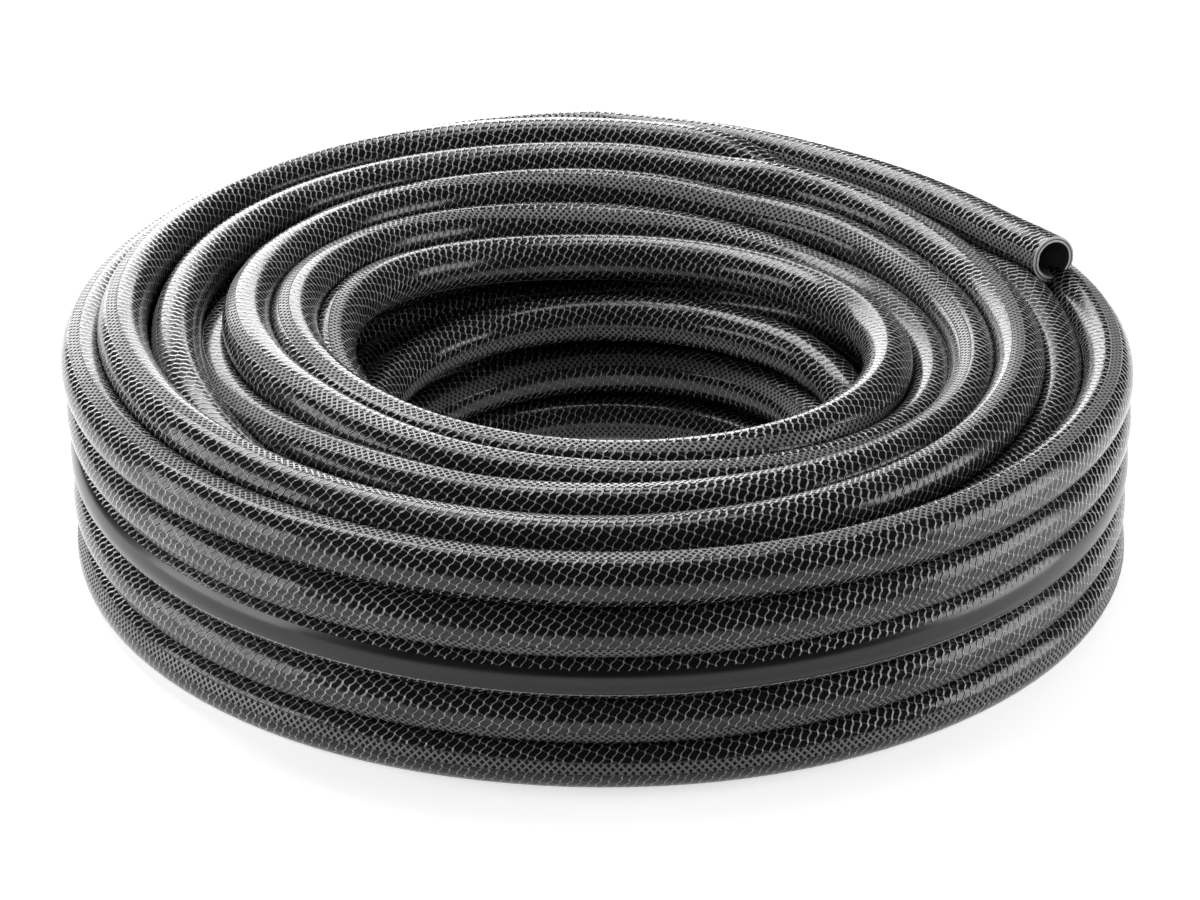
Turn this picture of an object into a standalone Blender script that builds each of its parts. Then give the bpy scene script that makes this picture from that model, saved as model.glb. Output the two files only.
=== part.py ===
"""Reinforced garden hose, wound into a round coil that lies flat. Metres, +Z up.

The outermost turns lie in a column, the next column climbs back up behind them, a row
spirals in across the top and the last turns go down inside the eye. These are the turns
that can be seen. They are one unbroken tube, and the hidden turns behind them are a core.
Both cut ends show the three layers of the hose wall and the open bore.
"""
import math

import bmesh
import bpy
import numpy as np
from mathutils import Vector

# ---------------------------------------------------------------- hose section
BORE_DIAMETER = 0.0127        # half an inch of free bore
LINER_WALL = 0.0009
REINFORCEMENT_WALL = 0.0003
COVER_WALL = 0.00075
LAYER_CLEARANCE = 0.0001      # between one layer of the wall and the next
HOSE_WALL = LINER_WALL + REINFORCEMENT_WALL + COVER_WALL + 2.0 * LAYER_CLEARANCE
HOSE_DIAMETER = BORE_DIAMETER + 2.0 * HOSE_WALL
END_RESOLUTION = 4            # bevel resolution of the cut ends

# ---------------------------------------------------------------- coil
OUTER_TURN_RADIUS = 0.1750    # middle line of the outermost turns
COLUMN_TURNS = 5
LAYER_HEIGHT = 0.0167         # from turn to turn in the outer column
TURN_SPACING = 0.0176         # from turn to turn in a row
TOP_ROW_TURNS = 4
TOP_ROW_RISE = 0.0055         # the top row lies this far above the outer column
TOP_ROW_FALL = 0.0010         # and drops this far with each turn towards the eye
EYE_TURNS = 3
EYE_DRAW_IN = 0.0045          # each turn in the eye is this much tighter
LEAN = 0.05                   # the pile stands higher at the left by this share
FREE_END_LIFT = 0.0200        # the last turn rises this far to ride over the one below
FREE_END_SPREAD = (0.0010, 0.0030, 0.0020)   # and its last points stand out by these
FREE_END_ROOM = 0.0004        # extra room under the free end, because it crosses at a slant
FLOOR_CUT = HOSE_DIAMETER / 10.0
LEAST_GAP = 0.00045           # kept between any two turns
POINTS_PER_TURN = 24
COIL_RESOLUTION = 1           # bevel resolution of the turns, which gives six sides
SETTLE_ROUNDS = 500
PRESS_ROUNDS = 1200
SMOOTHING = 0.15
HOLD = 0.02

# ---------------------------------------------------------------- ends
FACE_GAP = 0.0003             # between a turn's end and the stretch that goes on from it
FREE_END_ROUTE = ((0.0430, 0.1650, 0.0820), (0.0762, 0.1468, 0.0818), (0.1080, 0.1220, 0.0814),
                  (0.1310, 0.0965, 0.0813), (0.1460, 0.0715, 0.0820), (0.1622, 0.0482, 0.0830))
EYE_END_LENGTH = 0.080
EYE_END_SPRING = 0.009        # the end in the eye stands off the turns by this much
EYE_END_LIFT = 0.0005         # and this far off the floor
EYE_END_RISE_POINTS = 5       # over which the last turn comes up off its flat underside
EYE_END_STEP = 0.027
ROUTE_STEP = 0.036            # between the points along the free end

# ---------------------------------------------------------------- core
CORE_CLEARANCE = 0.0005

# ---------------------------------------------------------------- worked out from the above
HOSE_RADIUS = HOSE_DIAMETER / 2.0
TURN_SIDES = 4 + 2 * COIL_RESOLUTION
HALF_FLATS = HOSE_RADIUS * math.cos(math.pi / TURN_SIDES)
STEP_ANGLE = 2.0 * math.pi / POINTS_PER_TURN
QUARTER_TURN = POINTS_PER_TURN // 4
FLOOR_HEIGHT = HALF_FLATS - FLOOR_CUT
COLUMN_TOP = FLOOR_HEIGHT + LAYER_HEIGHT * (COLUMN_TURNS - 1)
ROW_TOP = COLUMN_TOP + TOP_ROW_RISE
SECOND_RADIUS = OUTER_TURN_RADIUS - TURN_SPACING
FLAT_NORMALS = np.array([(0.0, 1.0), (math.cos(math.pi / 6), 0.5), (math.cos(math.pi / 6), -0.5)])


# ---------------------------------------------------------------- helpers
def smooth_step(share):
    share = min(max(share, 0.0), 1.0)
    return share * share * (3.0 - 2.0 * share)


def make_collection(name):
    collection = bpy.data.collections.new(name)
    bpy.context.scene.collection.children.link(collection)
    return collection


def make_material(name, colour, roughness, coat=0.0):
    material = bpy.data.materials.new(name)
    material.use_nodes = True
    shader = material.node_tree.nodes["Principled BSDF"]
    shader.inputs["Base Color"].default_value = (*colour, 1.0)
    shader.inputs["Roughness"].default_value = roughness
    shader.inputs["Metallic"].default_value = 0.0
    shader.inputs["Coat Weight"].default_value = coat
    material.diffuse_color = (*colour, 1.0)
    return material


def on_circle(radius, height, angle):
    return Vector((radius * math.cos(angle), radius * math.sin(angle), height))


def tube_curve(name, points, radius, resolution, caps):
    """A curve along the points with a round bevel; six sides lie with two flats level."""
    data = bpy.data.curves.new(name, "CURVE")
    data.dimensions = "3D"
    data.twist_mode = "Z_UP"
    data.bevel_depth = radius
    data.bevel_resolution = resolution
    data.use_fill_caps = caps
    spline = data.splines.new("POLY")
    spline.points.add(len(points) - 1)
    for point, place in zip(spline.points, points):
        point.co = (*place, 1.0)
    return bpy.data.objects.new(name, data)


def curve_to_mesh(curve, collection):
    """Swap a curve object for a mesh object of the same name, with its caps welded on."""
    bpy.context.scene.collection.objects.link(curve)
    bpy.context.view_layer.update()
    mesh = bpy.data.meshes.new_from_object(curve.evaluated_get(bpy.context.evaluated_depsgraph_get()))
    name = curve.name
    place = curve.matrix_world.copy()
    bpy.data.objects.remove(curve)
    work = bmesh.new()
    work.from_mesh(mesh)
    bmesh.ops.remove_doubles(work, verts=work.verts, dist=0.00001)
    bmesh.ops.recalc_face_normals(work, faces=work.faces)
    work.to_mesh(mesh)
    work.free()
    mesh.name = name
    mesh.shade_smooth()
    mesh.set_sharp_from_angle(angle=math.radians(50.0))
    part = bpy.data.objects.new(name, mesh)
    part.matrix_world = place
    collection.objects.link(part)
    return part


def cut(part, cutter, name):
    cutter.hide_render = True
    cutter.display_type = "WIRE"
    modifier = part.modifiers.new(name, "BOOLEAN")
    modifier.operation = "DIFFERENCE"
    modifier.solver = "EXACT"
    modifier.object = cutter


def smooth_route(knots, step):
    """Points about one step apart along a curve that passes through every knot."""
    ends = [2.0 * knots[0] - knots[1], *knots, 2.0 * knots[-1] - knots[-2]]
    points = []
    for before, start, end, after in zip(ends, ends[1:], ends[2:], ends[3:]):
        pieces = max(1, round((end - start).length / step))
        for piece in range(pieces):
            t = piece / pieces
            line = 2.0 * start + (end - before) * t
            bend = (2.0 * before - 5.0 * start + 4.0 * end - after) * t ** 2
            twist = (3.0 * start - before - 3.0 * end + after) * t ** 3
            points.append((line + bend + twist) / 2.0)
    return points + [knots[-1]]


# ---------------------------------------------------------------- route of the turns
def turn_stations():
    """Radius and height of each turn, from the free end to the end inside the eye."""
    eye_radius = SECOND_RADIUS - TOP_ROW_TURNS * TURN_SPACING
    eye_top = ROW_TOP - TOP_ROW_TURNS * TOP_ROW_FALL
    down = [(OUTER_TURN_RADIUS, FLOOR_HEIGHT + turn * LAYER_HEIGHT) for turn in reversed(range(COLUMN_TURNS))]
    climb = (ROW_TOP - FLOOR_HEIGHT) / (COLUMN_TURNS - 1)
    up = [(SECOND_RADIUS, FLOOR_HEIGHT + turn * climb) for turn in range(COLUMN_TURNS)]
    across = [(SECOND_RADIUS - turn * TURN_SPACING, ROW_TOP - turn * TOP_ROW_FALL)
              for turn in range(1, TOP_ROW_TURNS + 1)]
    drop = (eye_top - FLOOR_HEIGHT) / EYE_TURNS
    eye = [(eye_radius - turn * EYE_DRAW_IN, eye_top - turn * drop) for turn in range(1, EYE_TURNS + 1)]
    return down + up + across + eye


def leaned(height, angle):
    return height * (1.0 - LEAN * math.cos(angle))


def first_guess(stations, angles):
    """Each turn stays level round the front and moves to the next one round the back."""
    lift = (stations[0][0], stations[0][1] + FREE_END_LIFT)
    places = []
    for angle in angles:
        turn, share = divmod(angle / (2.0 * math.pi), 1.0)
        new = stations[int(turn)]
        old = stations[int(turn) - 1] if turn > 0 else lift
        blend = smooth_step(2.0 * share)
        radius = old[0] + (new[0] - old[0]) * blend
        height = old[1] + (new[1] - old[1]) * blend
        places.append((radius, leaned(height, angle)))
    return np.array(places)


def press_apart(places, pinned, room):
    """Push turns that are too close away from each other, square to their nearest flats."""
    move = np.zeros_like(places)
    for shift in range(POINTS_PER_TURN, len(places), POINTS_PER_TURN):
        between = places[shift:] - places[:-shift]
        along = between @ FLAT_NORMALS.T
        nearest = np.argmax(np.abs(along), axis=1)
        reach = along[np.arange(len(along)), nearest]
        needed = room[shift:] + room[:-shift]
        short = np.maximum(needed - np.abs(reach), 0.0) * np.where(reach < 0.0, -0.5, 0.5)
        push = short[:, None] * FLAT_NORMALS[nearest]
        move[shift:] += push
        move[:-shift] -= push
    move[pinned] = 0.0
    return places + move * 0.8


def settle(guess, pinned, room):
    """Let the turns rest against each other without any of them touching."""
    places = guess.copy()
    for turn_round in range(SETTLE_ROUNDS + PRESS_ROUNDS):
        if turn_round < SETTLE_ROUNDS:
            pull = np.zeros_like(places)
            pull[1:-1] = (places[:-2] + places[2:] - 2.0 * places[1:-1]) * SMOOTHING
            pull += (guess - places) * HOLD
            pull[pinned] = 0.0
            places = places + pull
        places = press_apart(places, pinned, room)
        places[~pinned, 1] = np.maximum(places[~pinned, 1], FLOOR_HEIGHT)
    return places


def least_gap(places):
    """Smallest clear distance between two turns, over all points at the same angle."""
    gaps = []
    for shift in range(POINTS_PER_TURN, len(places), POINTS_PER_TURN):
        between = np.abs((places[shift:] - places[:-shift]) @ FLAT_NORMALS.T)
        gaps.append(between.max(axis=1).min() - 2.0 * HALF_FLATS)
    return min(gaps)


def free_end_places(knots, angles):
    """Radius and height of the free stretch where it passes over each of the angles."""
    route = smooth_route(knots, ROUTE_STEP / 4.0)
    along = np.array([math.atan2(point.y, point.x) for point in route])[::-1]
    radii = np.array([point.xy.length for point in route])[::-1]
    heights = np.array([point.z for point in route])[::-1]
    return np.stack([np.interp(angles, along, radii), np.interp(angles, along, heights)], axis=1)


def coil_route():
    """Places of the settled turns and their angles, the free end's first."""
    stations = turn_stations()
    count = len(stations) * POINTS_PER_TURN - QUARTER_TURN - 5
    angles = math.pi / 2.0 + STEP_ANGLE * np.arange(count)
    guess = first_guess(stations, angles)
    for back in range(EYE_END_RISE_POINTS):
        share = smooth_step((EYE_END_RISE_POINTS - back) / (EYE_END_RISE_POINTS - 1.0))
        guess[-1 - back, 1] = FLOOR_HEIGHT + (HOSE_RADIUS + EYE_END_LIFT - FLOOR_HEIGHT) * share
    guess[:len(FREE_END_SPREAD), 0] += FREE_END_SPREAD
    knots = [on_circle(guess[0, 0], guess[0, 1], angles[0])] + [Vector(knot) for knot in FREE_END_ROUTE]
    over = STEP_ANGLE * np.arange(1, QUARTER_TURN)
    guess = np.concatenate([free_end_places(knots, over), guess])
    pinned = np.zeros(len(guess), dtype=bool)
    pinned[:len(over) + 2] = True
    pinned[-2:] = True
    room = np.full(len(guess), HALF_FLATS + LEAST_GAP / 2.0)
    room[:len(over)] = HOSE_RADIUS + LEAST_GAP / 2.0 + FREE_END_ROOM
    places = settle(guess, pinned, room)[len(over):]
    print("turns", len(stations), "least gap of the tube to itself, mm", round(least_gap(places) * 1000.0, 3))
    return places, angles


# ---------------------------------------------------------------- pieces
def build_turns(points, collection, cutters, material):
    turns = curve_to_mesh(tube_curve("coil_turns", points, HOSE_RADIUS, COIL_RESOLUTION, True), collection)
    size = 3.0 * OUTER_TURN_RADIUS
    bpy.ops.mesh.primitive_cube_add(size=size, location=(0.0, 0.0, -size / 2.0))
    floor = bpy.context.active_object
    floor.name = "floor_cutter"
    for holder in list(floor.users_collection):
        holder.objects.unlink(floor)
    cutters.objects.link(floor)
    cut(turns, floor, "flat_underside")
    turns.data.materials.append(material)
    return turns


def build_core(places, angles, collection, material):
    """A turned ring that fills the space inside the turns, down to the floor."""
    radii, heights = places[:, 0], places[:, 1]
    turn = np.floor(angles / (2.0 * math.pi))
    second = (turn >= COLUMN_TURNS) & (turn < 2 * COLUMN_TURNS)
    row = (turn >= 2 * COLUMN_TURNS) & (turn < 2 * COLUMN_TURNS + TOP_ROW_TURNS)
    outside = radii[second].min() - HOSE_RADIUS - CORE_CLEARANCE
    top = heights[row].min() - HALF_FLATS - CORE_CLEARANCE
    inside_top = radii[row].min() + HOSE_RADIUS + CORE_CLEARANCE
    inside_floor = radii[-POINTS_PER_TURN:].max() + HOSE_RADIUS + CORE_CLEARANCE
    profile = ((outside, top), (outside, 0.0), (inside_floor, 0.0), (inside_top, top))
    mesh = bpy.data.meshes.new("coil_core")
    work = bmesh.new()
    corners = [work.verts.new((radius, 0.0, height)) for radius, height in profile]
    for start, end in zip(corners, corners[1:] + corners[:1]):
        work.edges.new((start, end))
    work.to_mesh(mesh)
    work.free()
    core = bpy.data.objects.new("coil_core", mesh)
    collection.objects.link(core)
    turned = core.modifiers.new("turned_ring", "SCREW")
    turned.axis = "Z"
    turned.steps = POINTS_PER_TURN
    turned.render_steps = POINTS_PER_TURN
    turned.use_merge_vertices = True
    turned.merge_threshold = 0.00001
    mesh.materials.append(material)
    return core


def build_cut_end(prefix, points, collection, materials):
    """Cover, reinforcement and liner round the open bore, one inside the other."""
    outside = HOSE_RADIUS
    for layer, wall in (("cover", COVER_WALL), ("reinforcement", REINFORCEMENT_WALL), ("liner", LINER_WALL)):
        curve = tube_curve(prefix + "_" + layer, points, outside, END_RESOLUTION, False)
        tube = curve_to_mesh(curve, collection)
        shell = tube.modifiers.new("wall", "SOLIDIFY")
        shell.thickness = wall
        shell.offset = -1.0
        shell.use_rim = True
        tube.data.materials.append(materials[layer])
        outside -= wall + LAYER_CLEARANCE


def free_end_points(first, second):
    """The stretch that leaves the outermost turn and rides over the turns to its cut end."""
    back = (first - second).normalized()
    start = first + back * FACE_GAP
    knots = [start, start + back * HOSE_DIAMETER] + [Vector(knot) for knot in FREE_END_ROUTE]
    return smooth_route(knots, ROUTE_STEP)


def eye_end_points(last, before):
    """The short stretch inside the eye, which springs a little away from the turns."""
    ahead = (last - before).normalized()
    start = last + ahead * FACE_GAP
    straight = start + ahead * HOSE_DIAMETER
    knots = [start, straight]
    radius = straight.xy.length
    angle = math.atan2(straight.y, straight.x)
    pieces = round(EYE_END_LENGTH / EYE_END_STEP)
    for piece in range(1, pieces + 1):
        angle += EYE_END_LENGTH / pieces / radius
        drawn_in = EYE_END_SPRING * (piece / pieces) ** 2
        knots.append(on_circle(radius - drawn_in, HOSE_RADIUS + EYE_END_LIFT, angle))
    return smooth_route(knots, ROUTE_STEP)


def main():
    for leftover in list(bpy.data.objects):
        bpy.data.objects.remove(leftover)
    parts = make_collection("reinforced_hose_coil")
    cutters = make_collection("cutters")
    cover = make_material("hose_cover_black", (0.018, 0.018, 0.019), 0.28, 0.4)
    layers = {"cover": cover,
              "reinforcement": make_material("reinforcement_yarn", (0.32, 0.32, 0.32), 0.60),
              "liner": make_material("liner_dark", (0.035, 0.035, 0.036), 0.40)}
    inner = make_material("inner_turns_black", (0.012, 0.012, 0.012), 0.45)

    places, angles = coil_route()
    points = [on_circle(radius, height, angle) for (radius, height), angle in zip(places, angles)]
    build_turns(points, parts, cutters, cover)
    build_core(places, angles, parts, inner)
    build_cut_end("free_end", free_end_points(points[0], points[1]), parts, layers)
    build_cut_end("eye_end", eye_end_points(points[-1], points[-2]), parts, layers)

    length = sum((end - start).length for start, end in zip(points, points[1:]))
    print("pieces", len(parts.objects), "wound length, m", round(length, 3))


main()
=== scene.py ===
# %% [markdown]
# # A garden hose wound in a coil
#
# The object is one 25 m length of black reinforced garden hose, wound in 31 turns. It lies flat
# on its side. One cut end rides over the top of the coil, and the other lies on the floor inside
# the eye. This first cell loads the imported model.

# %% Load the model
import math

import bmesh
import bpy
import numpy as np
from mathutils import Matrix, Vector


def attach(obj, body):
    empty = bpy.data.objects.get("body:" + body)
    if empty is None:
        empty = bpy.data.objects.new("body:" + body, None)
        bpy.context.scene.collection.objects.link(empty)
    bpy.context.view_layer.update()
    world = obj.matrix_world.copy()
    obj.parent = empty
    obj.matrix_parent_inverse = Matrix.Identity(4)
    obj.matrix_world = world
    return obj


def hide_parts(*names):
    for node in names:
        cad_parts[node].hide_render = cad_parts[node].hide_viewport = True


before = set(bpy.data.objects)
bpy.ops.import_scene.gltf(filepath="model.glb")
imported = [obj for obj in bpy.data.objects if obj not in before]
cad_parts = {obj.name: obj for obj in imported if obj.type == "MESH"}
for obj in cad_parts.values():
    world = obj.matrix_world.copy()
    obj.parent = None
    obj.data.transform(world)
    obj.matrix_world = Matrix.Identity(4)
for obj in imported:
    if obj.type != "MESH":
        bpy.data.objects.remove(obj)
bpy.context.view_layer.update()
bpy.context.scene.view_settings.view_transform = "Standard"

# %% [markdown]
# ## Camera
#
# The photograph was taken with a long lens from a little over a metre away, looking down at the
# coil by about 26 degrees. The heights of the turns at the front, at the back and at both sides
# fix these numbers, because a nearer or a lower camera would space the turns in another way.

# %% Set up the camera
CAMERA_DISTANCE = 1.250
CAMERA_ELEVATION = math.radians(25.8)
AIM_HEIGHT = 0.0303
LENS_PIXELS = 3560.0
PHOTO_WIDTH = 1200.0
SENSOR_WIDTH = 36.0

camera_data = bpy.data.cameras.new("photo_camera")
camera_data.sensor_width = SENSOR_WIDTH
camera_data.lens = SENSOR_WIDTH * LENS_PIXELS / PHOTO_WIDTH
camera = bpy.data.objects.new("photo_camera", camera_data)
bpy.context.scene.collection.objects.link(camera)
camera.location = (0.0, -CAMERA_DISTANCE * math.cos(CAMERA_ELEVATION),
                   AIM_HEIGHT + CAMERA_DISTANCE * math.sin(CAMERA_ELEVATION))
camera.rotation_euler = (math.radians(90.0) - CAMERA_ELEVATION, 0.0, 0.0)
bpy.context.scene.camera = camera
print("lens in mm:", round(camera_data.lens, 1))

# %% [markdown]
# ## Route of the hose, turn by turn
#
# A coil is easiest to describe as the places where each turn crosses four lines: at the back, the
# left, the front and the right. Each place is a distance from the middle and a height, in
# millimetres. The turns that can be seen have places of their own, because the top of a real coil
# is untidy. The hidden turns stand in plain columns, which a small function lists. The list
# starts at the free end and follows the hose to the end inside the eye.

# %% List the turns
LAYER_HEIGHTS = (8.5, 24.5, 40.5, 56.5)


def column(radius, heights):
    """Turns that stand one above the other, each at the same four places."""
    return [[(radius, height)] * 4 for height in heights]


turns = [[(177.5, 82.2), (176, 76), (175, 71.5), (174.8, 69.5)],
         [(175, 66), (175, 60), (175, 55.5), (175, 54.5)],
         [(175, 50), (175, 43.5), (175, 40), (175, 38.5)],
         [(175, 34), (175, 27), (175, 24), (175, 22.5)],
         [(175, 17.5), (175, 8.5), (175, 8.5), (175, 8.5)]]
turns += column(158.5, LAYER_HEIGHTS[:3])
turns += [[(158.5, 50), (160, 56), (163, 59), (156.9, 68)],
          [(159.5, 85.6), (164, 84.5), (158, 75), (144, 73)],
          [(143.5, 82), (145, 82.6), (148, 60), (143, 57)]]
turns += column(142, LAYER_HEIGHTS[2::-1]) + column(125.5, LAYER_HEIGHTS)
turns += [[(127, 62), (131, 72), (141.5, 78), (128.5, 69)],
          [(127.5, 77), (120.3, 84), (125, 78), (114, 60)],
          [(111, 70), (105.5, 81.6), (108.5, 77), (99, 69.3)],
          [(90, 66), (93.8, 74.3), (96, 58), (107, 54)]]
turns += column(109, LAYER_HEIGHTS[2::-1]) + column(92.5, LAYER_HEIGHTS[:3])
turns += [[(80, 46), (80, 42), (80, 38), (79, 32)],
          [(78, 26), (77, 21), (76, 17), (75, 12)],
          [(73, 8.5), (73.5, 8.5), (73.5, 8.5)]]
OUTER_WALL, TOP_ROWS, INNER_ROWS, EYE_WALL = range(5), range(8, 11), range(18, 22), range(28, 31)
seen = {turn for group in (OUTER_WALL, TOP_ROWS, INNER_ROWS, EYE_WALL) for turn in group}
print("turns:", len(turns), "of which seen:", len(seen))

# %% [markdown]
# ## One smooth curve
#
# The real hose is stiff and never bends sharply, so its places are joined by a curve without
# corners. A Blender curve object could do this, but the next step moves the points about, which
# is easier with plain numbers. A Catmull-Rom curve passes through every place that it is given.

# %% Join the places with a smooth curve
HOSE_DIAMETER = 0.0170
HOSE_RADIUS = HOSE_DIAMETER / 2.0
SAMPLES_PER_TURN = 120


def smooth_line(knots, counts):
    """Catmull-Rom curve through the knots, with a number of samples for each span."""
    knots = np.asarray(knots, dtype=float)
    padded = np.vstack([2.0 * knots[0] - knots[1], knots, 2.0 * knots[-1] - knots[-2]])
    line = []
    for span, count in enumerate(counts):
        before, start, end, after = padded[span:span + 4]
        t = (np.arange(count) / count)[:, None]
        line.append(0.5 * (2.0 * start + (end - before) * t
                           + (2.0 * before - 5.0 * start + 4.0 * end - after) * t ** 2
                           + (3.0 * start - before - 3.0 * end + after) * t ** 3))
    return np.vstack(line + [knots[-1:]])


stations = np.array([place for turn in turns for place in turn]) / 1000.0
guess = smooth_line(stations, [SAMPLES_PER_TURN // 4] * (len(stations) - 1))
sample_turn = np.arange(len(guess)) // SAMPLES_PER_TURN
is_seen = np.isin(sample_turn, sorted(seen))
print("samples along the turns:", len(guess))

# %% [markdown]
# ## The free end
#
# The free end leaves the outer turn at the back and lies slantwise over the top, out to the
# right. It has a route of its own, in metres. The turns below have to keep clear of it, so its
# route is also given as places above each direction that it crosses.

# %% Lay out the free end
FREE_END_ROUTE = ((0.0003, 0.1775, 0.0822), (0.0430, 0.1650, 0.0820),
                  (0.0762, 0.1468, 0.0818), (0.1080, 0.1220, 0.0814),
                  (0.1312, 0.0966, 0.0812), (0.1471, 0.0724, 0.0816),
                  (0.1576, 0.0562, 0.0822), (0.1619, 0.0478, 0.0827))
FREE_END_DEGREES = 70.0


def free_end_obstacle(count):
    """Where the free end passes over each direction, as places of an earlier turn."""
    line = smooth_line(FREE_END_ROUTE, [40] * (len(FREE_END_ROUTE) - 1))
    angle = np.degrees(np.arctan2(line[:, 1], line[:, 0]))[::-1]
    radius = np.hypot(line[:, 0], line[:, 1])[::-1]
    wanted = 90.0 - 360.0 / SAMPLES_PER_TURN * np.arange(count, 0, -1)
    return np.stack([np.interp(wanted, angle, radius),
                     np.interp(wanted, angle, line[::-1, 2])], axis=1)


over = round(FREE_END_DEGREES / 360.0 * SAMPLES_PER_TURN)
places = np.vstack([free_end_obstacle(over), guess])
print("samples of the free end over the turns:", over)

# %% [markdown]
# ## Letting the turns settle
#
# Real hose presses against its neighbours, and no two turns can be in the same place. A physics
# simulation could pack the coil, but it would lose the layout of the photograph. So the curve is
# relaxed here: wherever two turns are nearer than the pressed thickness of the hose they are
# pushed apart, and the turns that are seen are held close to their own places. The free end lies
# across the top and stays where it is.

# %% Push the turns apart
PRESSED_SPACING = 0.0158
FLOOR_CLEARANCE = 0.0081
SETTLE_ROUNDS = 260
PUSH_ROUNDS = 3
HOLD_SEEN, HOLD_HIDDEN = 0.25, 0.01
GIVE_SEEN, GIVE_HIDDEN = 0.35, 1.0
EASE = 0.25
PUSH_SHARE = 0.7

target = places.copy()
hold = np.concatenate([np.zeros(over), np.where(is_seen, HOLD_SEEN, HOLD_HIDDEN)])
pinned = np.zeros(len(places), dtype=bool)
pinned[:over + 2] = True
in_sight = np.concatenate([np.ones(over, dtype=bool), is_seen])
give = np.where(in_sight, GIVE_SEEN, GIVE_HIDDEN)
for settle_round in range(SETTLE_ROUNDS):
    pull = (target - places) * hold[:, None]
    pull[1:-1] += (places[:-2] + places[2:] - 2.0 * places[1:-1]) * EASE
    pull[pinned] = 0.0
    places += pull
    for push_round in range(PUSH_ROUNDS):
        move = np.zeros_like(places)
        for shift in range(SAMPLES_PER_TURN, len(places), SAMPLES_PER_TURN):
            between = places[shift:] - places[:-shift]
            apart = np.maximum(np.hypot(between[:, 0], between[:, 1]), 1e-6)
            short = np.maximum(PRESSED_SPACING - apart, 0.0) / apart
            total = give[shift:] + give[:-shift]
            move[shift:] += between * (short * give[shift:] / total)[:, None]
            move[:-shift] -= between * (short * give[:-shift] / total)[:, None]
        move[pinned] = 0.0
        places += move * PUSH_SHARE
        places[:, 1] = np.maximum(places[:, 1], FLOOR_CLEARANCE)
places = places[over:]
moved = np.hypot(*(places - guess).T) * 1000.0
print("seen turns moved by up to", round(float(moved[is_seen].max()), 2), "mm,",
      "on average", round(float(moved[is_seen].mean()), 2), "mm")

# %% [markdown]
# ## Rings along the hose
#
# The skin will be a row of rings. A turn that can be seen gets a ring about every 9 mm, which
# keeps its outline round. A hidden turn gets one about every 30 mm, which keeps the mesh light.

# %% Choose the rings and measure the hose
HIDDEN_STEP = 4

angles = math.pi / 2.0 + 2.0 * math.pi / SAMPLES_PER_TURN * np.arange(len(places))
free_line = smooth_line(FREE_END_ROUTE, [5, 5, 5, 4, 4, 3, 2])[:0:-1]
wound_line = np.stack([places[:, 0] * np.cos(angles), places[:, 0] * np.sin(angles),
                       places[:, 1]], axis=1)
keep = [index for index in range(len(places))
        if is_seen[index] or index % HIDDEN_STEP == 0 or index == len(places) - 1]
centres = np.vstack([free_line, wound_line[keep]])
ring_index = np.concatenate([np.full(len(free_line), -1), np.array(keep)])
run = np.concatenate([[0.0], np.cumsum(np.linalg.norm(np.diff(centres, axis=0), axis=1))])
print("rings:", len(centres), "length in metres:", round(float(run[-1]), 3))

# %% [markdown]
# ## Where the hose is pressed flat
#
# At each ring the hose is round, apart from what flattens it. It is pressed flat against each
# neighbour, and it lies flat on the floor. A curve with a bevel would give a perfectly round
# hose, so the reach of the skin from the middle is worked out for every side of every ring.

# %% Work out the flats of each ring
SIDES = 40
CONTACT_GAP = 0.00012
FLOOR_GAP = 0.0002
ring_angles = np.radians(90.0) + 2.0 * math.pi * np.arange(SIDES) / SIDES


def flat_limit(facing, distance):
    """How far the skin reaches before a flat at some distance cuts it off."""
    return np.where(facing > 0.3, distance / np.maximum(facing, 0.3), 1.0)


reach = np.full((len(centres), SIDES), HOSE_RADIUS)
wound = ring_index >= 0
own = ring_index[wound]
for shift in range(-len(places) + 1, len(places)):
    if shift == 0 or shift % SAMPLES_PER_TURN:
        continue
    other = own + shift
    inside = (other >= 0) & (other < len(places))
    between = places[np.clip(other, 0, len(places) - 1)] - places[own]
    apart = np.hypot(between[:, 0], between[:, 1])
    near = inside & (apart < HOSE_DIAMETER)
    if not near.any():
        continue
    toward = np.arctan2(between[near, 1], between[near, 0])
    facing = np.cos(ring_angles[None, :] - toward[:, None])
    rows = np.flatnonzero(wound)[near]
    half_way = apart[near, None] / 2.0 - CONTACT_GAP
    reach[rows] = np.minimum(reach[rows], flat_limit(facing, half_way))
down = np.cos(ring_angles + math.pi / 2.0)
reach = np.minimum(reach, flat_limit(down, centres[:, 2:3] - FLOOR_GAP))
print("thinnest reach of the skin in mm:", round(float(reach.min()) * 1000.0, 2))

# %% [markdown]
# ## Stripe and band
#
# Two marks run along the hose. One is a plain stripe, where the cover is smooth. The other is a
# narrow flat band, where the hose was pressed against its neighbour in the first winding and the
# knit lies close. The hose rolls slowly about its own middle as it is wound, so each mark shows on
# some turns and hides on others. Each list gives the side on which the mark lies, in degrees up
# from the outer side, at places counted in turns from the free end's turn.

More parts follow.
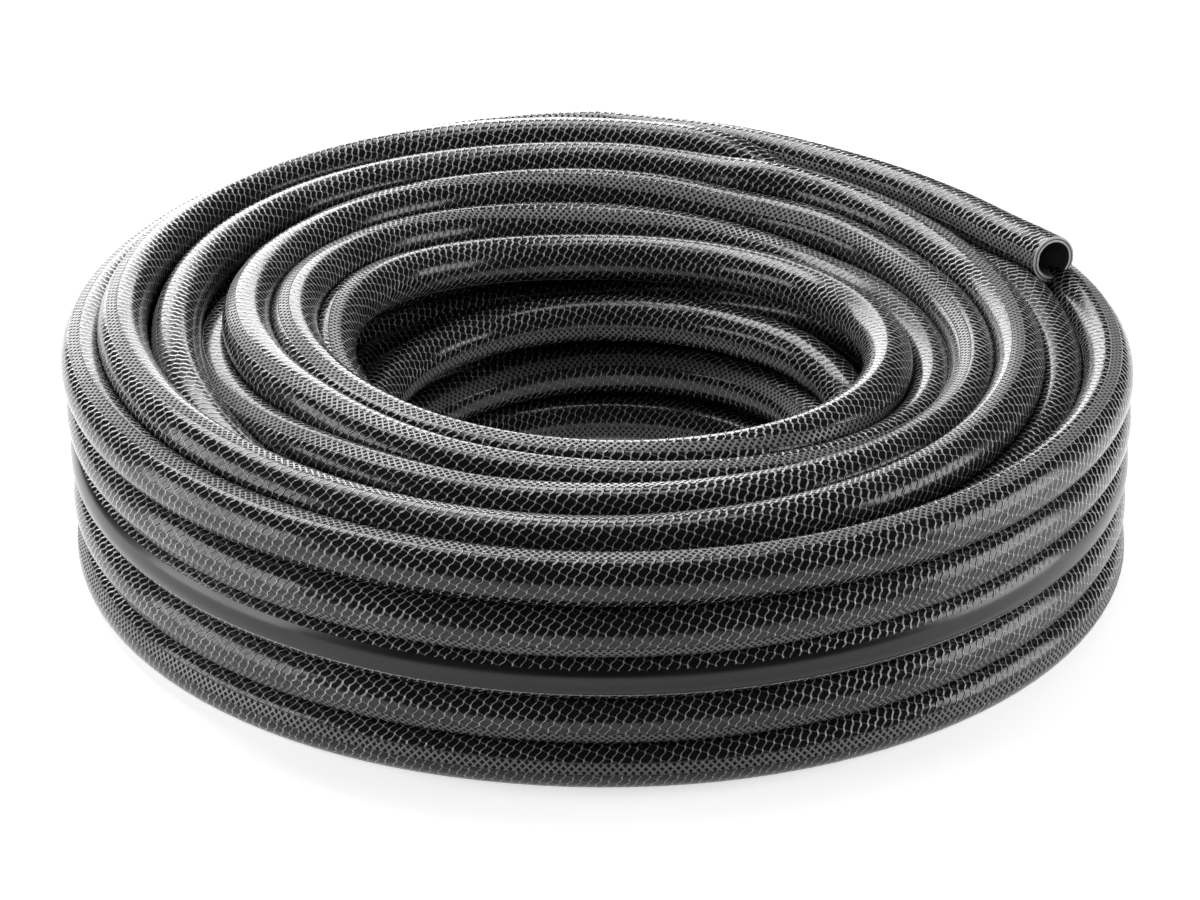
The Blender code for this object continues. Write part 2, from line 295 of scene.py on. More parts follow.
# %% Choose where the stripe and the band lie
STRIPE_PLACES = ((-0.2, 285.0), (0.0, 250.0), (0.45, 208.0), (0.85, 205.0), (1.25, 200.0),
                 (1.8, 160.0), (2.1, 20.0), (2.3, 12.0), (2.5, -2.0), (2.85, -5.0), (3.2, -90.0),
                 (3.5, -170.0), (3.8, -250.0), (4.1, -277.0), (4.3, -269.0), (4.5, -226.0),
                 (4.9, -160.0), (8.0, -95.0), (27.0, -95.0), (28.0, 0.0), (31.0, 0.0))
BAND_PLACES = ((-0.2, 172.0), (-0.05, 165.0), (0.05, 80.0), (0.25, 55.0), (0.38, 94.0),
               (0.5, 86.0), (0.75, 76.0), (1.0, 20.0), (1.2, -32.0), (1.5, -31.0), (1.8, -28.0),
               (2.2, -140.0), (2.8, -140.0), (3.2, -30.0), (3.5, -28.0), (3.8, -26.0),
               (4.15, 45.0), (4.3, 30.0), (4.5, 8.0), (4.8, 2.0), (8.0, 40.0), (8.7, -60.0),
               (9.0, 40.0), (9.25, 60.0), (9.4, 104.0), (9.5, 100.0), (9.75, 98.0), (10.0, 58.0),
               (10.25, 25.0), (10.6, 20.0), (17.9, 150.0), (18.2, 25.0), (18.5, 98.0),
               (18.75, 117.0), (19.0, 145.0), (19.2, 36.0), (19.5, 96.0), (19.75, 27.0),
               (20.0, 150.0), (20.2, 62.0), (20.5, 92.0), (20.75, -50.0), (21.0, 20.0),
               (21.25, 110.0), (21.5, 60.0), (28.0, 200.0), (29.0, 130.0), (30.0, 195.0))
OUTER_RADIUS = 0.175
ROLL_EASE_ROUNDS = 60
ring_turn = np.where(ring_index >= 0, ring_index / SAMPLES_PER_TURN,
                     (run - run[len(free_line)]) / (2.0 * math.pi * OUTER_RADIUS))


def mark_roll(mark_places):
    """The side of a mark at every ring, in radians, eased from place to place."""
    place_turn, place_side = np.array(mark_places).T
    side = np.radians(np.interp(ring_turn, place_turn, place_side))
    for ease_round in range(ROLL_EASE_ROUNDS):
        side[1:-1] = 0.25 * side[:-2] + 0.5 * side[1:-1] + 0.25 * side[2:]
    return side


stripe_roll = mark_roll(STRIPE_PLACES)
band_roll = mark_roll(BAND_PLACES)
print("places listed:", len(STRIPE_PLACES), "for the stripe and", len(BAND_PLACES), "for the band")

# %% [markdown]
# ## Flats under the marks
#
# The band was pressed against a neighbour, so the hose is a little flat there, and the stripe is
# very slightly flat. Bump could only fake this, and the outline and the highlights would stay
# round, so the flats go into the reach of the skin.

# %% Flatten the hose along its marks
STRIPE_FLAT_DEPTH = 0.010
BAND_FLAT_DEPTH = 0.035
for side, depth in ((stripe_roll, STRIPE_FLAT_DEPTH), (band_roll, BAND_FLAT_DEPTH)):
    facing = np.cos(ring_angles[None, :] - side[:, None])
    reach = np.minimum(reach, flat_limit(facing, HOSE_RADIUS * (1.0 - depth)))
print("the marks flatten the hose by up to", round(HOSE_RADIUS * BAND_FLAT_DEPTH * 1000.0, 2), "mm")

# %% [markdown]
# ## Rings of the skin
#
# Each ring stands square to the route. The direction of the route comes from its points, and two
# more directions at right angles to it, outward and upward, carry the ring. The bore has ten
# weak corners, because the knit presses the inner tube as it shrinks.

# %% Make the rings
BORE_RADIUS = 0.00635
BORE_CORNERS = 10.0
BORE_CORNER_RISE = 0.018

tangents = np.gradient(centres, axis=0)
tangents /= np.linalg.norm(tangents, axis=1)[:, None]
outward = np.cross(tangents, (0.0, 0.0, 1.0))
outward /= np.linalg.norm(outward, axis=1)[:, None]
upward = np.cross(outward, tangents)


def ring(centre_row, factor, push):
    """One ring of points: the section at a row of the route, shrunk and pushed along the hose."""
    arm = reach[centre_row][:, None] * factor
    return (centres[centre_row] + tangents[centre_row] * push
            + arm * (np.cos(ring_angles)[:, None] * outward[centre_row]
                     + np.sin(ring_angles)[:, None] * upward[centre_row]))


def bore_ring(centre_row):
    """One ring of the bore, with its weak corners."""
    corners = 1.0 + BORE_CORNER_RISE * np.cos(BORE_CORNERS * ring_angles)
    arm = (BORE_RADIUS * corners)[:, None]
    return (centres[centre_row] + arm * (np.cos(ring_angles)[:, None] * outward[centre_row]
                                         + np.sin(ring_angles)[:, None] * upward[centre_row]))


print("directions worked out for", len(tangents), "rings")

# %% [markdown]
# ## Cut ends
#
# A knife left both ends square, and the cut shows the cover, the yarn and the inner tube as thin
# circles. Each step in the list shrinks the last ring and pushes it along the hose, so the yarn
# lies in a shallow groove. From the inner edge the rings run back into the bore, and the mesh is
# closed deep inside, where nobody can look.

# %% Stack the rings from bore to bore
BORE_DEPTH_RINGS = 24
CUT_STEPS = ((1.0, 0.0004), (0.985, 0.0), (0.905, 0.0), (0.895, -0.0002), (0.865, -0.0002),
             (0.855, 0.0), (0.765, 0.0))
COVER_SLOT, YARN_SLOT, LINER_SLOT, CUT_SLOT = range(4)
CUT_SLOTS = (CUT_SLOT, CUT_SLOT, YARN_SLOT, YARN_SLOT, YARN_SLOT, CUT_SLOT, LINER_SLOT)

last = len(centres) - 1
rings, slots, runs = [], [], []


def stack(points_of_ring, slot, centre_row):
    """Add a ring, with the material of the faces after it and its place along the hose."""
    rings.append(points_of_ring)
    slots.append(slot)
    runs.append(run[centre_row])


for row in range(BORE_DEPTH_RINGS, 0, -1):
    stack(bore_ring(row), LINER_SLOT, row)
for (factor, push), slot in zip(CUT_STEPS[::-1], CUT_SLOTS[-2::-1] + (COVER_SLOT,)):
    stack(ring(0, factor, push), slot, 0)
for row in range(1, last):
    stack(ring(row, 1.0, 0.0), COVER_SLOT, row)
for (factor, push), slot in zip(CUT_STEPS, CUT_SLOTS):
    stack(ring(last, factor, -push), slot, last)
for row in range(last - 1, last - BORE_DEPTH_RINGS, -1):
    stack(bore_ring(row), LINER_SLOT, row)
points = np.vstack(rings)
row_runs = np.array(runs)
print("rings in the mesh:", len(rings), "points:", len(points))

# %% [markdown]
# ## One closed mesh
#
# Every two rings next to each other are joined by four-sided faces, and a flat face closes each
# bore deep inside. Every face corner also gets a place on the skin in metres, along the hose and
# around it from the middle of each mark. These two UV maps carry the knitted pattern, which then
# follows the hose round every bend.

# %% Join the rings
faces, face_slots = [], []
for row in range(len(rings) - 1):
    for side in range(SIDES):
        after = (side + 1) % SIDES
        faces.append((row * SIDES + side, (row + 1) * SIDES + side,
                      (row + 1) * SIDES + after, row * SIDES + after))
        face_slots.append(slots[row])
faces.append(tuple(range(SIDES)))
faces.append(tuple(range(len(points) - 1, len(points) - SIDES - 1, -1)))
face_slots += [LINER_SLOT, LINER_SLOT]


def places_on_skin(side_of_mark):
    """Place of every face corner along the hose, and around it from the middle of a mark."""
    turned = np.interp(row_runs, run, side_of_mark)
    corner_places = []
    for row_step, side_step in ((0, 0), (1, 0), (1, 1), (0, 1)):
        first, end = row_step, len(rings) - 1 + row_step
        angle = math.pi / 2.0 + 2.0 * math.pi * (np.arange(SIDES) + side_step) / SIDES
        around = HOSE_RADIUS * (angle[None, :] - turned[first:end, None])
        along = np.repeat(row_runs[first:end, None], SIDES, axis=1)
        corner_places.append(np.stack([along, around], axis=-1))
    corners = np.stack(corner_places, axis=2).reshape(-1, 2)
    return np.vstack([corners, np.zeros((2 * SIDES, 2))]).astype(np.float32)


print("faces:", len(faces))

# %% Make the hose
SHARP_EDGE = math.radians(50.0)

hose_mesh = bpy.data.meshes.new("hose")
hose_mesh.from_pydata(points.tolist(), [], faces)
hose_mesh.polygons.foreach_set("material_index", face_slots)
for layer_name, side_of_mark in (("from_stripe", stripe_roll), ("from_band", band_roll)):
    layer = hose_mesh.uv_layers.new(name=layer_name)
    layer.data.foreach_set("uv", places_on_skin(side_of_mark).ravel())
hose_mesh.shade_smooth()
hose_mesh.set_sharp_from_angle(angle=SHARP_EDGE)
hose = bpy.data.objects.new("hose", hose_mesh)
bpy.context.scene.collection.objects.link(hose)
hose_mesh.update()
shell = bmesh.new()
shell.from_mesh(hose_mesh)
print("closed:", all(edge.is_manifold for edge in shell.edges),
      "volume in cm3:", round(shell.calc_volume(signed=True) * 1e6, 1))
shell.free()

# %% [markdown]
# ## Helpers for the nodes
#
# The pattern on the hose is drawn with Math nodes. They could be placed by hand in the shader
# editor, but there are many of them, so a few small functions add a node, set its numbers and
# link it, and give back the socket that the next node needs.

# %% Make helpers for the nodes
def add_node(tree, kind, **settings):
    node = tree.nodes.new(kind)
    for key, value in settings.items():
        setattr(node, key, value)
    return node


def fill(tree, sockets, values):
    """Put numbers into sockets, and link what is itself a socket."""
    for socket, value in zip(sockets, values):
        if value is None:
            continue
        if isinstance(value, (int, float, tuple)):
            socket.default_value = value
        else:
            tree.links.new(value, socket)


def math_node(tree, operation, first, second=None, third=None):
    """A Math node with numbers or sockets put in, giving back its result socket."""
    node = add_node(tree, "ShaderNodeMath", operation=operation)
    fill(tree, node.inputs, (first, second, third))
    return node.outputs[0]


def ramp(tree, value, start, end, low=0.0, high=1.0):
    """A smooth step from low to high while the value goes from start to end."""
    node = add_node(tree, "ShaderNodeMapRange", interpolation_type="SMOOTHSTEP")
    fill(tree, node.inputs, (value, start, end, low, high))
    return node.outputs[0]


def noise(tree, place, scale, detail=2.0):
    """Soft noise between 0 and 1, with its scale in waves for each metre."""
    node = add_node(tree, "ShaderNodeTexNoise")
    tree.links.new(place, node.inputs["Vector"])
    node.inputs["Scale"].default_value = scale
    node.inputs["Detail"].default_value = detail
    return node.outputs["Fac"]


def blend(tree, factor, first, second, kind="RGBA"):
    """Mix two colours or values, each a socket or plain numbers."""
    node = add_node(tree, "ShaderNodeMix", data_type=kind)
    offset = 6 if kind == "RGBA" else 2
    fill(tree, (node.inputs[0], node.inputs[offset], node.inputs[offset + 1]),
         (factor, first, second))
    return node.outputs[2 if kind == "RGBA" else 0]


print("helpers ready")

# %% Make helpers for node groups and materials
def new_group(name, inputs, outputs):
    """An empty node group with its inputs, each with a value, and its outputs."""
    tree = bpy.data.node_groups.new(name, "ShaderNodeTree")
    for label, value in inputs.items():
        socket = tree.interface.new_socket(label, in_out="INPUT", socket_type="NodeSocketFloat")
        socket.default_value = value
    for label in outputs:
        tree.interface.new_socket(label, in_out="OUTPUT", socket_type="NodeSocketFloat")
    given = add_node(tree, "NodeGroupInput").outputs
    return tree, given, add_node(tree, "NodeGroupOutput").inputs


def new_material(name):
    material = bpy.data.materials.new(name)
    material.use_nodes = True
    tree = material.node_tree
    return material, tree, tree.nodes["Principled BSDF"]


print("groups so far:", len(bpy.data.node_groups))

# %% [markdown]
# ## Knitted net
#
# Yarn is knitted round the inner tube, and the soft black cover is pressed over it, so a net
# shows through as fine raised lines. Two families of yarn cross each other. One climbs steeply
# round the hose and the other lies nearly along it. Modelling 25 m of knitting would take
# millions of faces, so the net is drawn by nodes. The place on the skin is turned into two
# counts, one for each family, and a yarn lies wherever its count is whole. The counts go up by
# whole numbers round the hose, so that the net meets itself. Each family is waved a little where
# the other pulls at it.

# %% Count the yarns
HOSE_ROUND = 2.0 * math.pi * HOSE_RADIUS
STEEP_YARNS, SLACK_YARNS = 10, 14
STEEP_PER_METRE, SLACK_PER_METRE = 349.0, 138.0
STEEP_WAVE, SLACK_WAVE = 0.09, 0.03
WANDER_REACH = 0.5
YARN_WIDTH = 0.14

net, given, result = new_group("knitted_net",
                               {"Along": 0.0, "Around": 0.0, "Wander": 0.5, "Yarn": YARN_WIDTH},
                               ("Yarn", "Knot", "Ridge"))


def yarn_count(operation, per_metre, yarns, wander_operation):
    """The count of one family, which is whole on each of its yarns."""
    along = math_node(net, "MULTIPLY", given["Along"], per_metre)
    around = math_node(net, "MULTIPLY", given["Around"], yarns / HOSE_ROUND)
    return math_node(net, wander_operation, math_node(net, operation, along, around), wander)


def waved(count, other, size):
    """The count with a wave wherever the other family crosses."""
    turned = math_node(net, "SINE", math_node(net, "MULTIPLY", other, 2.0 * math.pi))
    return math_node(net, "ADD", count, math_node(net, "MULTIPLY", turned, size))


wander = math_node(net, "MULTIPLY", math_node(net, "SUBTRACT", given["Wander"], 0.5), WANDER_REACH)
plain_steep = yarn_count("SUBTRACT", STEEP_PER_METRE, STEEP_YARNS, "ADD")
plain_slack = yarn_count("ADD", SLACK_PER_METRE, SLACK_YARNS, "SUBTRACT")
steep = waved(plain_steep, plain_slack, STEEP_WAVE)
slack = waved(plain_slack, plain_steep, SLACK_WAVE)
print("steep yarns:", STEEP_YARNS, "slack yarns:", SLACK_YARNS)

# %% [markdown]
# ## Lines, knots and ridges of the net
#
# The distance to the nearest yarn gives three masks. The yarn mask is a thin line that will be
# pale, the knot mask marks the crossings, and the ridge mask is wider and will be raised. The
# slack yarn's ridge is lower, and its pale line is drawn weaker as painted shade, because the
# lamps catch the slack yarn less than the steep one.

# %% Turn the counts into masks
STEEP_RIDGE_START, SLACK_RIDGE_START = 0.55, 0.75
SLACK_RIDGE_HEIGHT = 0.06
# Share of the slack yarn's pale line, dimmed as painted shade.
SLACK_PAINTED_SHADE_SHARE = 0.26
YARN_CORE = 0.35
KNOT_START, KNOT_END = 0.62, 0.85
JOIN_SOFTNESS = 0.15


def nearness(tree, count):
    """1 where the count is whole, falling to 0 half way between."""
    half = math_node(tree, "SUBTRACT", math_node(tree, "FRACT", count), 0.5)
    return math_node(tree, "MULTIPLY", math_node(tree, "ABSOLUTE", half), 2.0)


near_steep = nearness(net, steep)
near_slack = nearness(net, slack)
yarn_edge = math_node(net, "SUBTRACT", 1.0, given["Yarn"])
yarn_peak = math_node(net, "SUBTRACT", 1.0, math_node(net, "MULTIPLY", given["Yarn"], YARN_CORE))
steep_line = ramp(net, near_steep, yarn_edge, yarn_peak)
# Painted shade: the slack yarn's pale line is dimmed to about a quarter, because the lamps catch it
# less than the steep yarn.
slack_line_painted_shade = math_node(net, "MULTIPLY", ramp(net, near_slack, yarn_edge, yarn_peak), SLACK_PAINTED_SHADE_SHARE)
crossings = math_node(net, "MULTIPLY", near_steep, near_slack)
steep_ridge = ramp(net, near_steep, STEEP_RIDGE_START, 1.0)
slack_ridge = math_node(net, "MULTIPLY", ramp(net, near_slack, SLACK_RIDGE_START, 1.0),
                        SLACK_RIDGE_HEIGHT)
net.links.new(math_node(net, "MAXIMUM", steep_line, slack_line_painted_shade), result["Yarn"])
net.links.new(ramp(net, crossings, KNOT_START, KNOT_END), result["Knot"])
net.links.new(math_node(net, "SMOOTH_MAX", steep_ridge, slack_ridge, JOIN_SOFTNESS),
              result["Ridge"])
print("net nodes:", len(net.nodes))

# %% [markdown]
# ## Look of the two marks
#
# The distance from the middle of each mark says where it is. The stripe is plain, with a ragged
# pale line along its lower edge. The band has a closer and straighter lattice than the net, with
# small dark pits and broad yarn, between two narrow grooves. Paint on an image could show these
# marks, but it would need a very long image, and nodes are sharp at any length.

# %% Build the stripe mask
STRIPE_HALF_WIDTH = 0.0046
STRIPE_EDGE_SOFTNESS = 0.0002
RAGGED_REACH = 0.0008

marks, given, result = new_group("stripe_and_band",
                                 {"Along": 0.0, "From Stripe": 0.0, "From Band": 0.0,
                                  "Ragged": 0.5},
                                 ("Stripe", "Stripe Edge", "Band", "Band Yarn", "Groove"))
ragged = math_node(marks, "MULTIPLY", math_node(marks, "SUBTRACT", given["Ragged"], 0.5),
                   RAGGED_REACH)


def signed_distance(around):
    """Distance round the hose, in metres, with nearly half the way round on either side."""
    turned = math_node(marks, "ADD", math_node(marks, "DIVIDE", around, HOSE_ROUND), 0.5)
    share = math_node(marks, "SUBTRACT", math_node(marks, "FRACT", turned), 0.5)
    return math_node(marks, "MULTIPLY", share, HOSE_ROUND)


from_stripe = signed_distance(given["From Stripe"])
stripe_gap = math_node(marks, "ADD", math_node(marks, "ABSOLUTE", from_stripe), ragged)
marks.links.new(ramp(marks, stripe_gap, STRIPE_HALF_WIDTH - STRIPE_EDGE_SOFTNESS,
                     STRIPE_HALF_WIDTH + STRIPE_EDGE_SOFTNESS, 1.0, 0.0), result["Stripe"])
below = math_node(marks, "ADD", math_node(marks, "ADD", from_stripe, ragged),
                  STRIPE_HALF_WIDTH + 0.0001)
marks.links.new(ramp(marks, math_node(marks, "ABSOLUTE", below), 0.0001, 0.0004, 1.0, 0.0),
                result["Stripe Edge"])
print("stripe width in mm:", round(STRIPE_HALF_WIDTH * 2000.0, 1))

# %% Build the band mask
BAND_HALF_WIDTH = 0.0020
BAND_EDGE_SOFTNESS = 0.0001
GROOVE_HALF_WIDTH = 0.00022
BAND_CELL_LENGTH = 0.00242
BAND_CELL_WIDTH = 0.0026
BAND_YARN_START, BAND_YARN_END = 0.50, 0.80

from_band = signed_distance(given["From Band"])
band_gap = math_node(marks, "ABSOLUTE", from_band)
marks.links.new(ramp(marks, band_gap, BAND_HALF_WIDTH - BAND_EDGE_SOFTNESS,
                     BAND_HALF_WIDTH + BAND_EDGE_SOFTNESS, 1.0, 0.0), result["Band"])
past_edge = math_node(marks, "ABSOLUTE", math_node(marks, "SUBTRACT", band_gap, BAND_HALF_WIDTH))
marks.links.new(ramp(marks, past_edge, 0.0, GROOVE_HALF_WIDTH, 1.0, 0.0), result["Groove"])
count_along = math_node(marks, "DIVIDE", given["Along"], BAND_CELL_LENGTH)
count_round = math_node(marks, "DIVIDE", from_band, BAND_CELL_WIDTH)
crossing = [nearness(marks, math_node(marks, operation, count_along, count_round))
            for operation in ("ADD", "SUBTRACT")]
either_yarn = math_node(marks, "SMOOTH_MAX", crossing[0], crossing[1], JOIN_SOFTNESS)
marks.links.new(ramp(marks, either_yarn, BAND_YARN_START, BAND_YARN_END), result["Band Yarn"])
print("mark nodes:", len(marks.nodes))

# %% [markdown]
# ## The glossy cover
#
# The cover is soft black plastic with a strong gloss. Its colour is nearly black, and what looks
# grey on the real hose is the light that its raised yarns and its round sides reflect. The net
# and the marks are placed in the material, and each gets its place on the skin from the UV maps.
# A little noise lets the net wander and makes the edges of the stripe ragged.

# %% Place the net and the marks in the cover
WANDER_SCALE, RAGGED_SCALE = 140.0, 900.0

cover, tree, shader = new_material("glossy_hose_cover")
body_place = add_node(tree, "ShaderNodeTexCoord").outputs["Object"]
knit = add_node(tree, "ShaderNodeGroup", node_tree=net)
mark = add_node(tree, "ShaderNodeGroup", node_tree=marks)


def skin_place(layer_name):
    """The places along and around the hose that a UV map holds."""
    split = add_node(tree, "ShaderNodeSeparateXYZ")
    tree.links.new(add_node(tree, "ShaderNodeUVMap", uv_map=layer_name).outputs[0], split.inputs[0])
    return split.outputs[0], split.outputs[1]


along, around_stripe = skin_place("from_stripe")
around_band = skin_place("from_band")[1]
fill(tree, (knit.inputs["Along"], knit.inputs["Around"], knit.inputs["Yarn"],
            knit.inputs["Wander"]),
     (along, around_stripe, YARN_WIDTH, noise(tree, body_place, WANDER_SCALE, 1.0)))
fill(tree, (mark.inputs["Along"], mark.inputs["From Stripe"], mark.inputs["From Band"],
            mark.inputs["Ragged"]),
     (along, around_stripe, around_band, noise(tree, body_place, RAGGED_SCALE)))
print("cover made:", cover.name)

# %% [markdown]
# ## Colour of the cover
#
# The yarn shows through as pale lines, and a little brighter at the knots. It lies nearer the
# surface in some places than in others, so slow noise along the hose makes the lines stronger
# and weaker, and fine noise breaks them up. The band's own yarn is greyer, and the stripe covers
# everything.

# %% Colour the cover
COVER_BLACK = (0.007, 0.007, 0.0075, 1.0)
YARN_PALE = (0.62, 0.62, 0.62, 1.0)
KNOT_PALE = (0.66, 0.66, 0.66, 1.0)
BAND_PALE = (0.22, 0.22, 0.22, 1.0)
STRIPE_GREY = (0.008, 0.008, 0.0085, 1.0)
DEPTH_SCALE, FINE_SCALE = 45.0, 1100.0
KNOT_STRENGTH, RAGGED_LINE_STRENGTH = 0.6, 0.8

depth = ramp(tree, noise(tree, body_place, DEPTH_SCALE, 3.0), 0.35, 0.65, 0.55, 1.0)
fine = ramp(tree, noise(tree, body_place, FINE_SCALE, 1.0), 0.3, 0.7, 0.6, 1.0)
# The yarn mask carries the slack yarn's painted shade from the net.
yarn_shows = math_node(tree, "MULTIPLY", knit.outputs["Yarn"],
                       math_node(tree, "MULTIPLY", depth, fine))
knot_shows = math_node(tree, "MULTIPLY", knit.outputs["Knot"], KNOT_STRENGTH)
ragged_line = math_node(tree, "MULTIPLY", mark.outputs["Stripe Edge"], fine)
line_shows = math_node(tree, "MULTIPLY", ragged_line, RAGGED_LINE_STRENGTH)
colour = blend(tree, yarn_shows, COVER_BLACK, YARN_PALE)
colour = blend(tree, knot_shows, colour, KNOT_PALE)
band_colour = blend(tree, mark.outputs["Band Yarn"], COVER_BLACK, BAND_PALE)
colour = blend(tree, mark.outputs["Band"], colour, band_colour)
colour = blend(tree, mark.outputs["Stripe"], colour, STRIPE_GREY)
colour = blend(tree, line_shows, colour, YARN_PALE)
tree.links.new(colour, shader.inputs["Base Color"])
print("layers of colour:", 5)

# %% [markdown]
# ## Relief and gloss of the cover
#
# The yarns stand up under the cover by a sixth of a millimetre or less. Real ridges would need
# far too many faces, so a Bump node tilts the surface instead, and the lamps draw a bright stroke
# on every yarn. All heights are shares of the relief, and the grooves beside the band go down.
# The cover is smoothest between the yarns. The pits of the band are dull, so they stay dark.

# %% Raise the yarns
RELIEF = 0.00013
KNOT_RISE, BAND_RISE, STRIPE_RISE, GROOVE_DROP = 0.2, 2.6, 0.35, 2.0
GRAIN_SCALE, GRAIN_RISE = 700.0, 0.04

ridges = math_node(tree, "ADD", knit.outputs["Ridge"],
                   math_node(tree, "MULTIPLY", knit.outputs["Knot"], KNOT_RISE))
band_relief = math_node(tree, "MULTIPLY", mark.outputs["Band Yarn"], BAND_RISE)
relief = blend(tree, mark.outputs["Band"], ridges, band_relief, "FLOAT")
relief = blend(tree, mark.outputs["Stripe"], relief, STRIPE_RISE, "FLOAT")
relief = math_node(tree, "SUBTRACT", relief,
                   math_node(tree, "MULTIPLY", mark.outputs["Groove"], GROOVE_DROP))
grain = math_node(tree, "MULTIPLY", noise(tree, body_place, GRAIN_SCALE, 3.0), GRAIN_RISE)
bump = add_node(tree, "ShaderNodeBump")
bump.inputs["Strength"].default_value = 1.0
bump.inputs["Distance"].default_value = RELIEF
tree.links.new(math_node(tree, "ADD", relief, grain), bump.inputs["Height"])
tree.links.new(bump.outputs[0], shader.inputs["Normal"])
print("relief in mm:", round(RELIEF * 1000.0, 2))

# %% Polish the cover
CELL_ROUGH, YARN_ROUGH = 0.12, 0.24
PIT_ROUGH, BAND_YARN_ROUGH = 0.90, 0.20
STRIPE_ROUGH = 0.22
SMEAR_SCALE, SMEAR_ROUGH = 30.0, 0.08
COVER_SPECULAR = 0.38

dull = blend(tree, knit.outputs["Yarn"], CELL_ROUGH, YARN_ROUGH, "FLOAT")
band_dull = blend(tree, mark.outputs["Band Yarn"], PIT_ROUGH, BAND_YARN_ROUGH, "FLOAT")
dull = blend(tree, mark.outputs["Band"], dull, band_dull, "FLOAT")
dull = blend(tree, mark.outputs["Stripe"], dull, STRIPE_ROUGH, "FLOAT")
smear = ramp(tree, noise(tree, body_place, SMEAR_SCALE, 4.0), 0.3, 0.7, 0.0, SMEAR_ROUGH)
tree.links.new(math_node(tree, "ADD", dull, smear), shader.inputs["Roughness"])
shader.inputs["Specular IOR Level"].default_value = COVER_SPECULAR
hose_mesh.materials.append(cover)
print("cover nodes:", len(tree.nodes))

# %% [markdown]
# ## Finishes of the cut end
#
# Three more finishes show only at the ends: the ends of the cut yarn, the inner tube with fine
# scratches, and the freshly cut plastic, which is pale and a little rough. Each is noise between
# two greys. The materials are added in the order of the slots that the faces already carry.

# %% Make the cut yarn and the inner tube
THREAD_SCALE, SCRATCH_SCALE = 2500.0, 600.0


def grey(level):
    return (level, level, level, 1.0)


yarn, tree, shader = new_material("cut_yarn")
thread = noise(tree, add_node(tree, "ShaderNodeTexCoord").outputs["Object"], THREAD_SCALE)
tree.links.new(blend(tree, thread, grey(0.01), grey(0.08)), shader.inputs["Base Color"])
shader.inputs["Roughness"].default_value = 0.7
hose_mesh.materials.append(yarn)

liner, tree, shader = new_material("inner_tube")
scratch = noise(tree, add_node(tree, "ShaderNodeTexCoord").outputs["Object"], SCRATCH_SCALE, 4.0)
tree.links.new(blend(tree, scratch, grey(0.10), grey(0.18)), shader.inputs["Base Color"])
tree.links.new(ramp(tree, scratch, 0.3, 0.7, 0.32, 0.5), shader.inputs["Roughness"])
hose_mesh.materials.append(liner)
print("materials on the hose:", len(hose_mesh.materials))

# %% Make the freshly cut plastic
CUT_GRAIN_SCALE = 1500.0
CUT_RELIEF = 0.0001

cut_face, tree, shader = new_material("fresh_cut")
grain = noise(tree, add_node(tree, "ShaderNodeTexCoord").outputs["Object"], CUT_GRAIN_SCALE, 3.0)
tree.links.new(blend(tree, grain, grey(0.34), grey(0.62)), shader.inputs["Base Color"])
bump = add_node(tree, "ShaderNodeBump")
bump.inputs["Distance"].default_value = CUT_RELIEF
bump.inputs["Strength"].default_value = 0.6
tree.links.new(grain, bump.inputs["Height"])
tree.links.new(bump.outputs[0], shader.inputs["Normal"])
shader.inputs["Roughness"].default_value = 0.5
hose_mesh.materials.append(cut_face)
print("materials on the hose:", [material.name for material in hose_mesh.materials])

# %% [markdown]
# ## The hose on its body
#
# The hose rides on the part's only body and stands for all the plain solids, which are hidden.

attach(hose, "root")
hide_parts("coil_turns", "coil_core", "free_end_cover", "free_end_reinforcement",
            "free_end_liner", "eye_end_cover", "eye_end_reinforcement", "eye_end_liner")
print("cord declared:", hose.name)

# %% [markdown]
# ## Floor
#
# The hose lies on plain white. A floor that is only lit would look grey, and more light would
# bleach the hose. So the floor also glows, but only for rays that come from the camera or from a
# mirror-like reflection, and it still keeps the shadow of the coil.

# %% Add the floor
FLOOR_SIZE = 40.0
FLOOR_HEIGHT = -0.0005
FLOOR_GLOW = 0.68

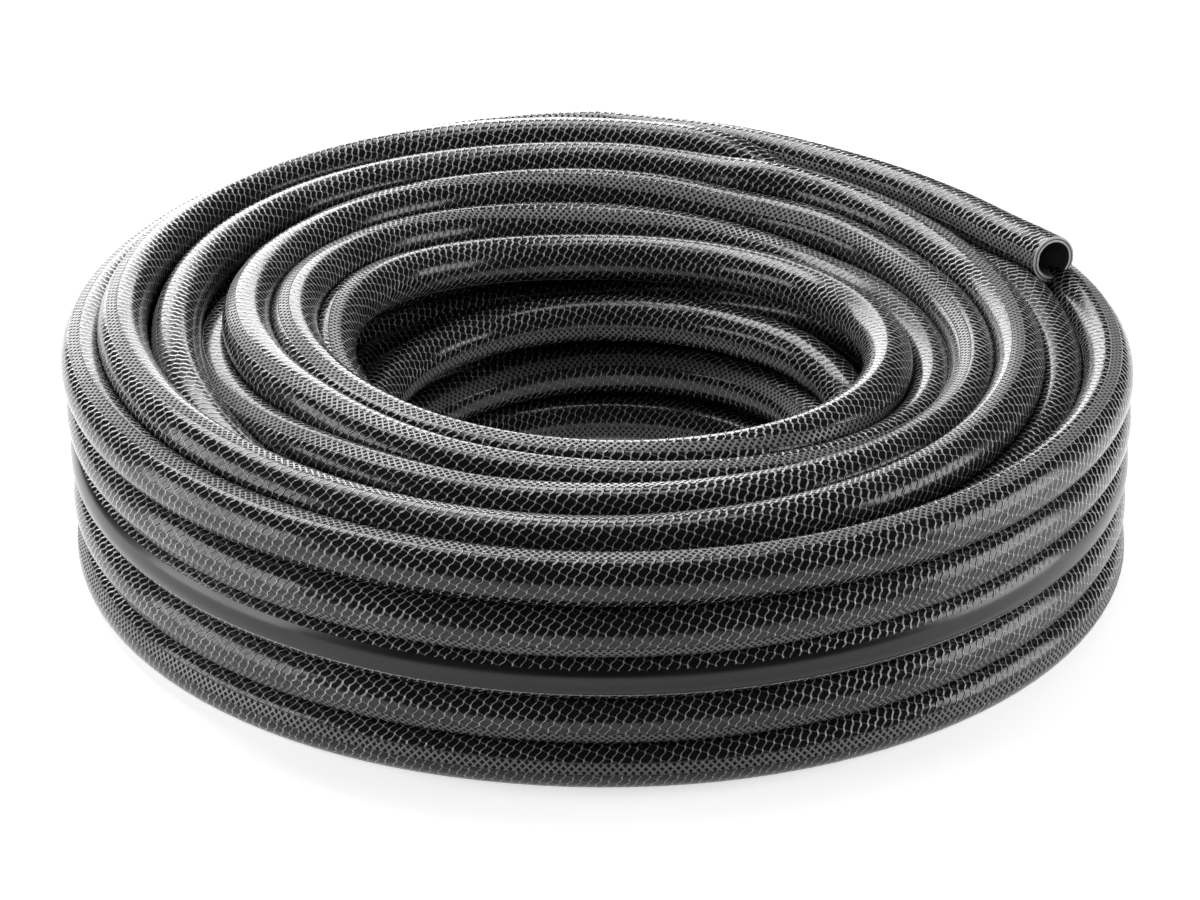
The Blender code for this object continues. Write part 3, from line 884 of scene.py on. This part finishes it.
bpy.ops.object.select_all(action="DESELECT")
bpy.ops.mesh.primitive_plane_add(size=FLOOR_SIZE, location=(0.0, 0.0, FLOOR_HEIGHT))
floor = bpy.context.active_object
floor.name = "floor"
white, tree, shader = new_material("white_floor")
shader.inputs["Base Color"].default_value = grey(0.80)
shader.inputs["Roughness"].default_value = 0.9
shader.inputs["Specular IOR Level"].default_value = 0.0
shader.inputs["Emission Color"].default_value = grey(1.0)
ray = add_node(tree, "ShaderNodeLightPath").outputs
mirrored = math_node(tree, "MAXIMUM", ray["Is Glossy Ray"], ray["Is Transmission Ray"])
seen_or_mirrored = math_node(tree, "MAXIMUM", ray["Is Camera Ray"], mirrored)
tree.links.new(math_node(tree, "MULTIPLY", seen_or_mirrored, FLOOR_GLOW),
               shader.inputs["Emission Strength"])
floor.data.materials.append(white)
print("floor at", round(floor.location.z, 4))

# %% [markdown]
# ## Light
#
# The hose is black and glossy, so it shows the lamps and the dark room more than its own colour.
# Two long soft lamps stand behind the coil, one low and one high, and give the broken highlights
# on the tops of the turns. A narrow one hangs overhead and reaches into the eye. Two broad lamps
# stand low at the left and the right and light the sides. Nothing is lit from the front, so the
# front stays dark.

# %% Set the light
ROOM_STRENGTH = 0.06
LAMPS = (("back_light", (-0.40, 1.30, 0.40), (0.0, 0.0, 0.08), (1.1, 0.74), 18.0),
         ("top_light", (-0.35, 0.75, 1.20), (0.0, 0.0, 0.05), (1.0, 0.60), 20.5),
         ("overhead_light", (0.0, 0.20, 1.45), (0.0, 0.0, 0.05), (0.9, 0.25), 4.6),
         ("left_light", (-0.85, -0.22, 0.24), (0.0, -0.05, 0.04), (0.6, 0.44), 5.0),
         ("right_light", (0.85, -0.12, 0.24), (0.0, -0.05, 0.04), (0.5, 0.40), 4.5))


def softbox(name, place, aim, size, power):
    """A soft rectangular lamp that points at a place, its size in metres and power in watts."""
    data = bpy.data.lights.new(name, "AREA")
    data.shape = "RECTANGLE"
    data.size, data.size_y = size
    data.energy = power
    lamp = bpy.data.objects.new(name, data)
    bpy.context.scene.collection.objects.link(lamp)
    lamp.location = place
    lamp.visible_camera = False
    lamp.rotation_euler = (Vector(aim) - Vector(place)).to_track_quat("-Z", "Y").to_euler()


for name, place, aim, size, power in LAMPS:
    softbox(name, place, aim, size, power)
world = bpy.data.worlds.new("studio")
bpy.context.scene.world = world
world.use_nodes = True
background = world.node_tree.nodes["Background"]
background.inputs["Color"].default_value = grey(1.0)
background.inputs["Strength"].default_value = ROOM_STRENGTH
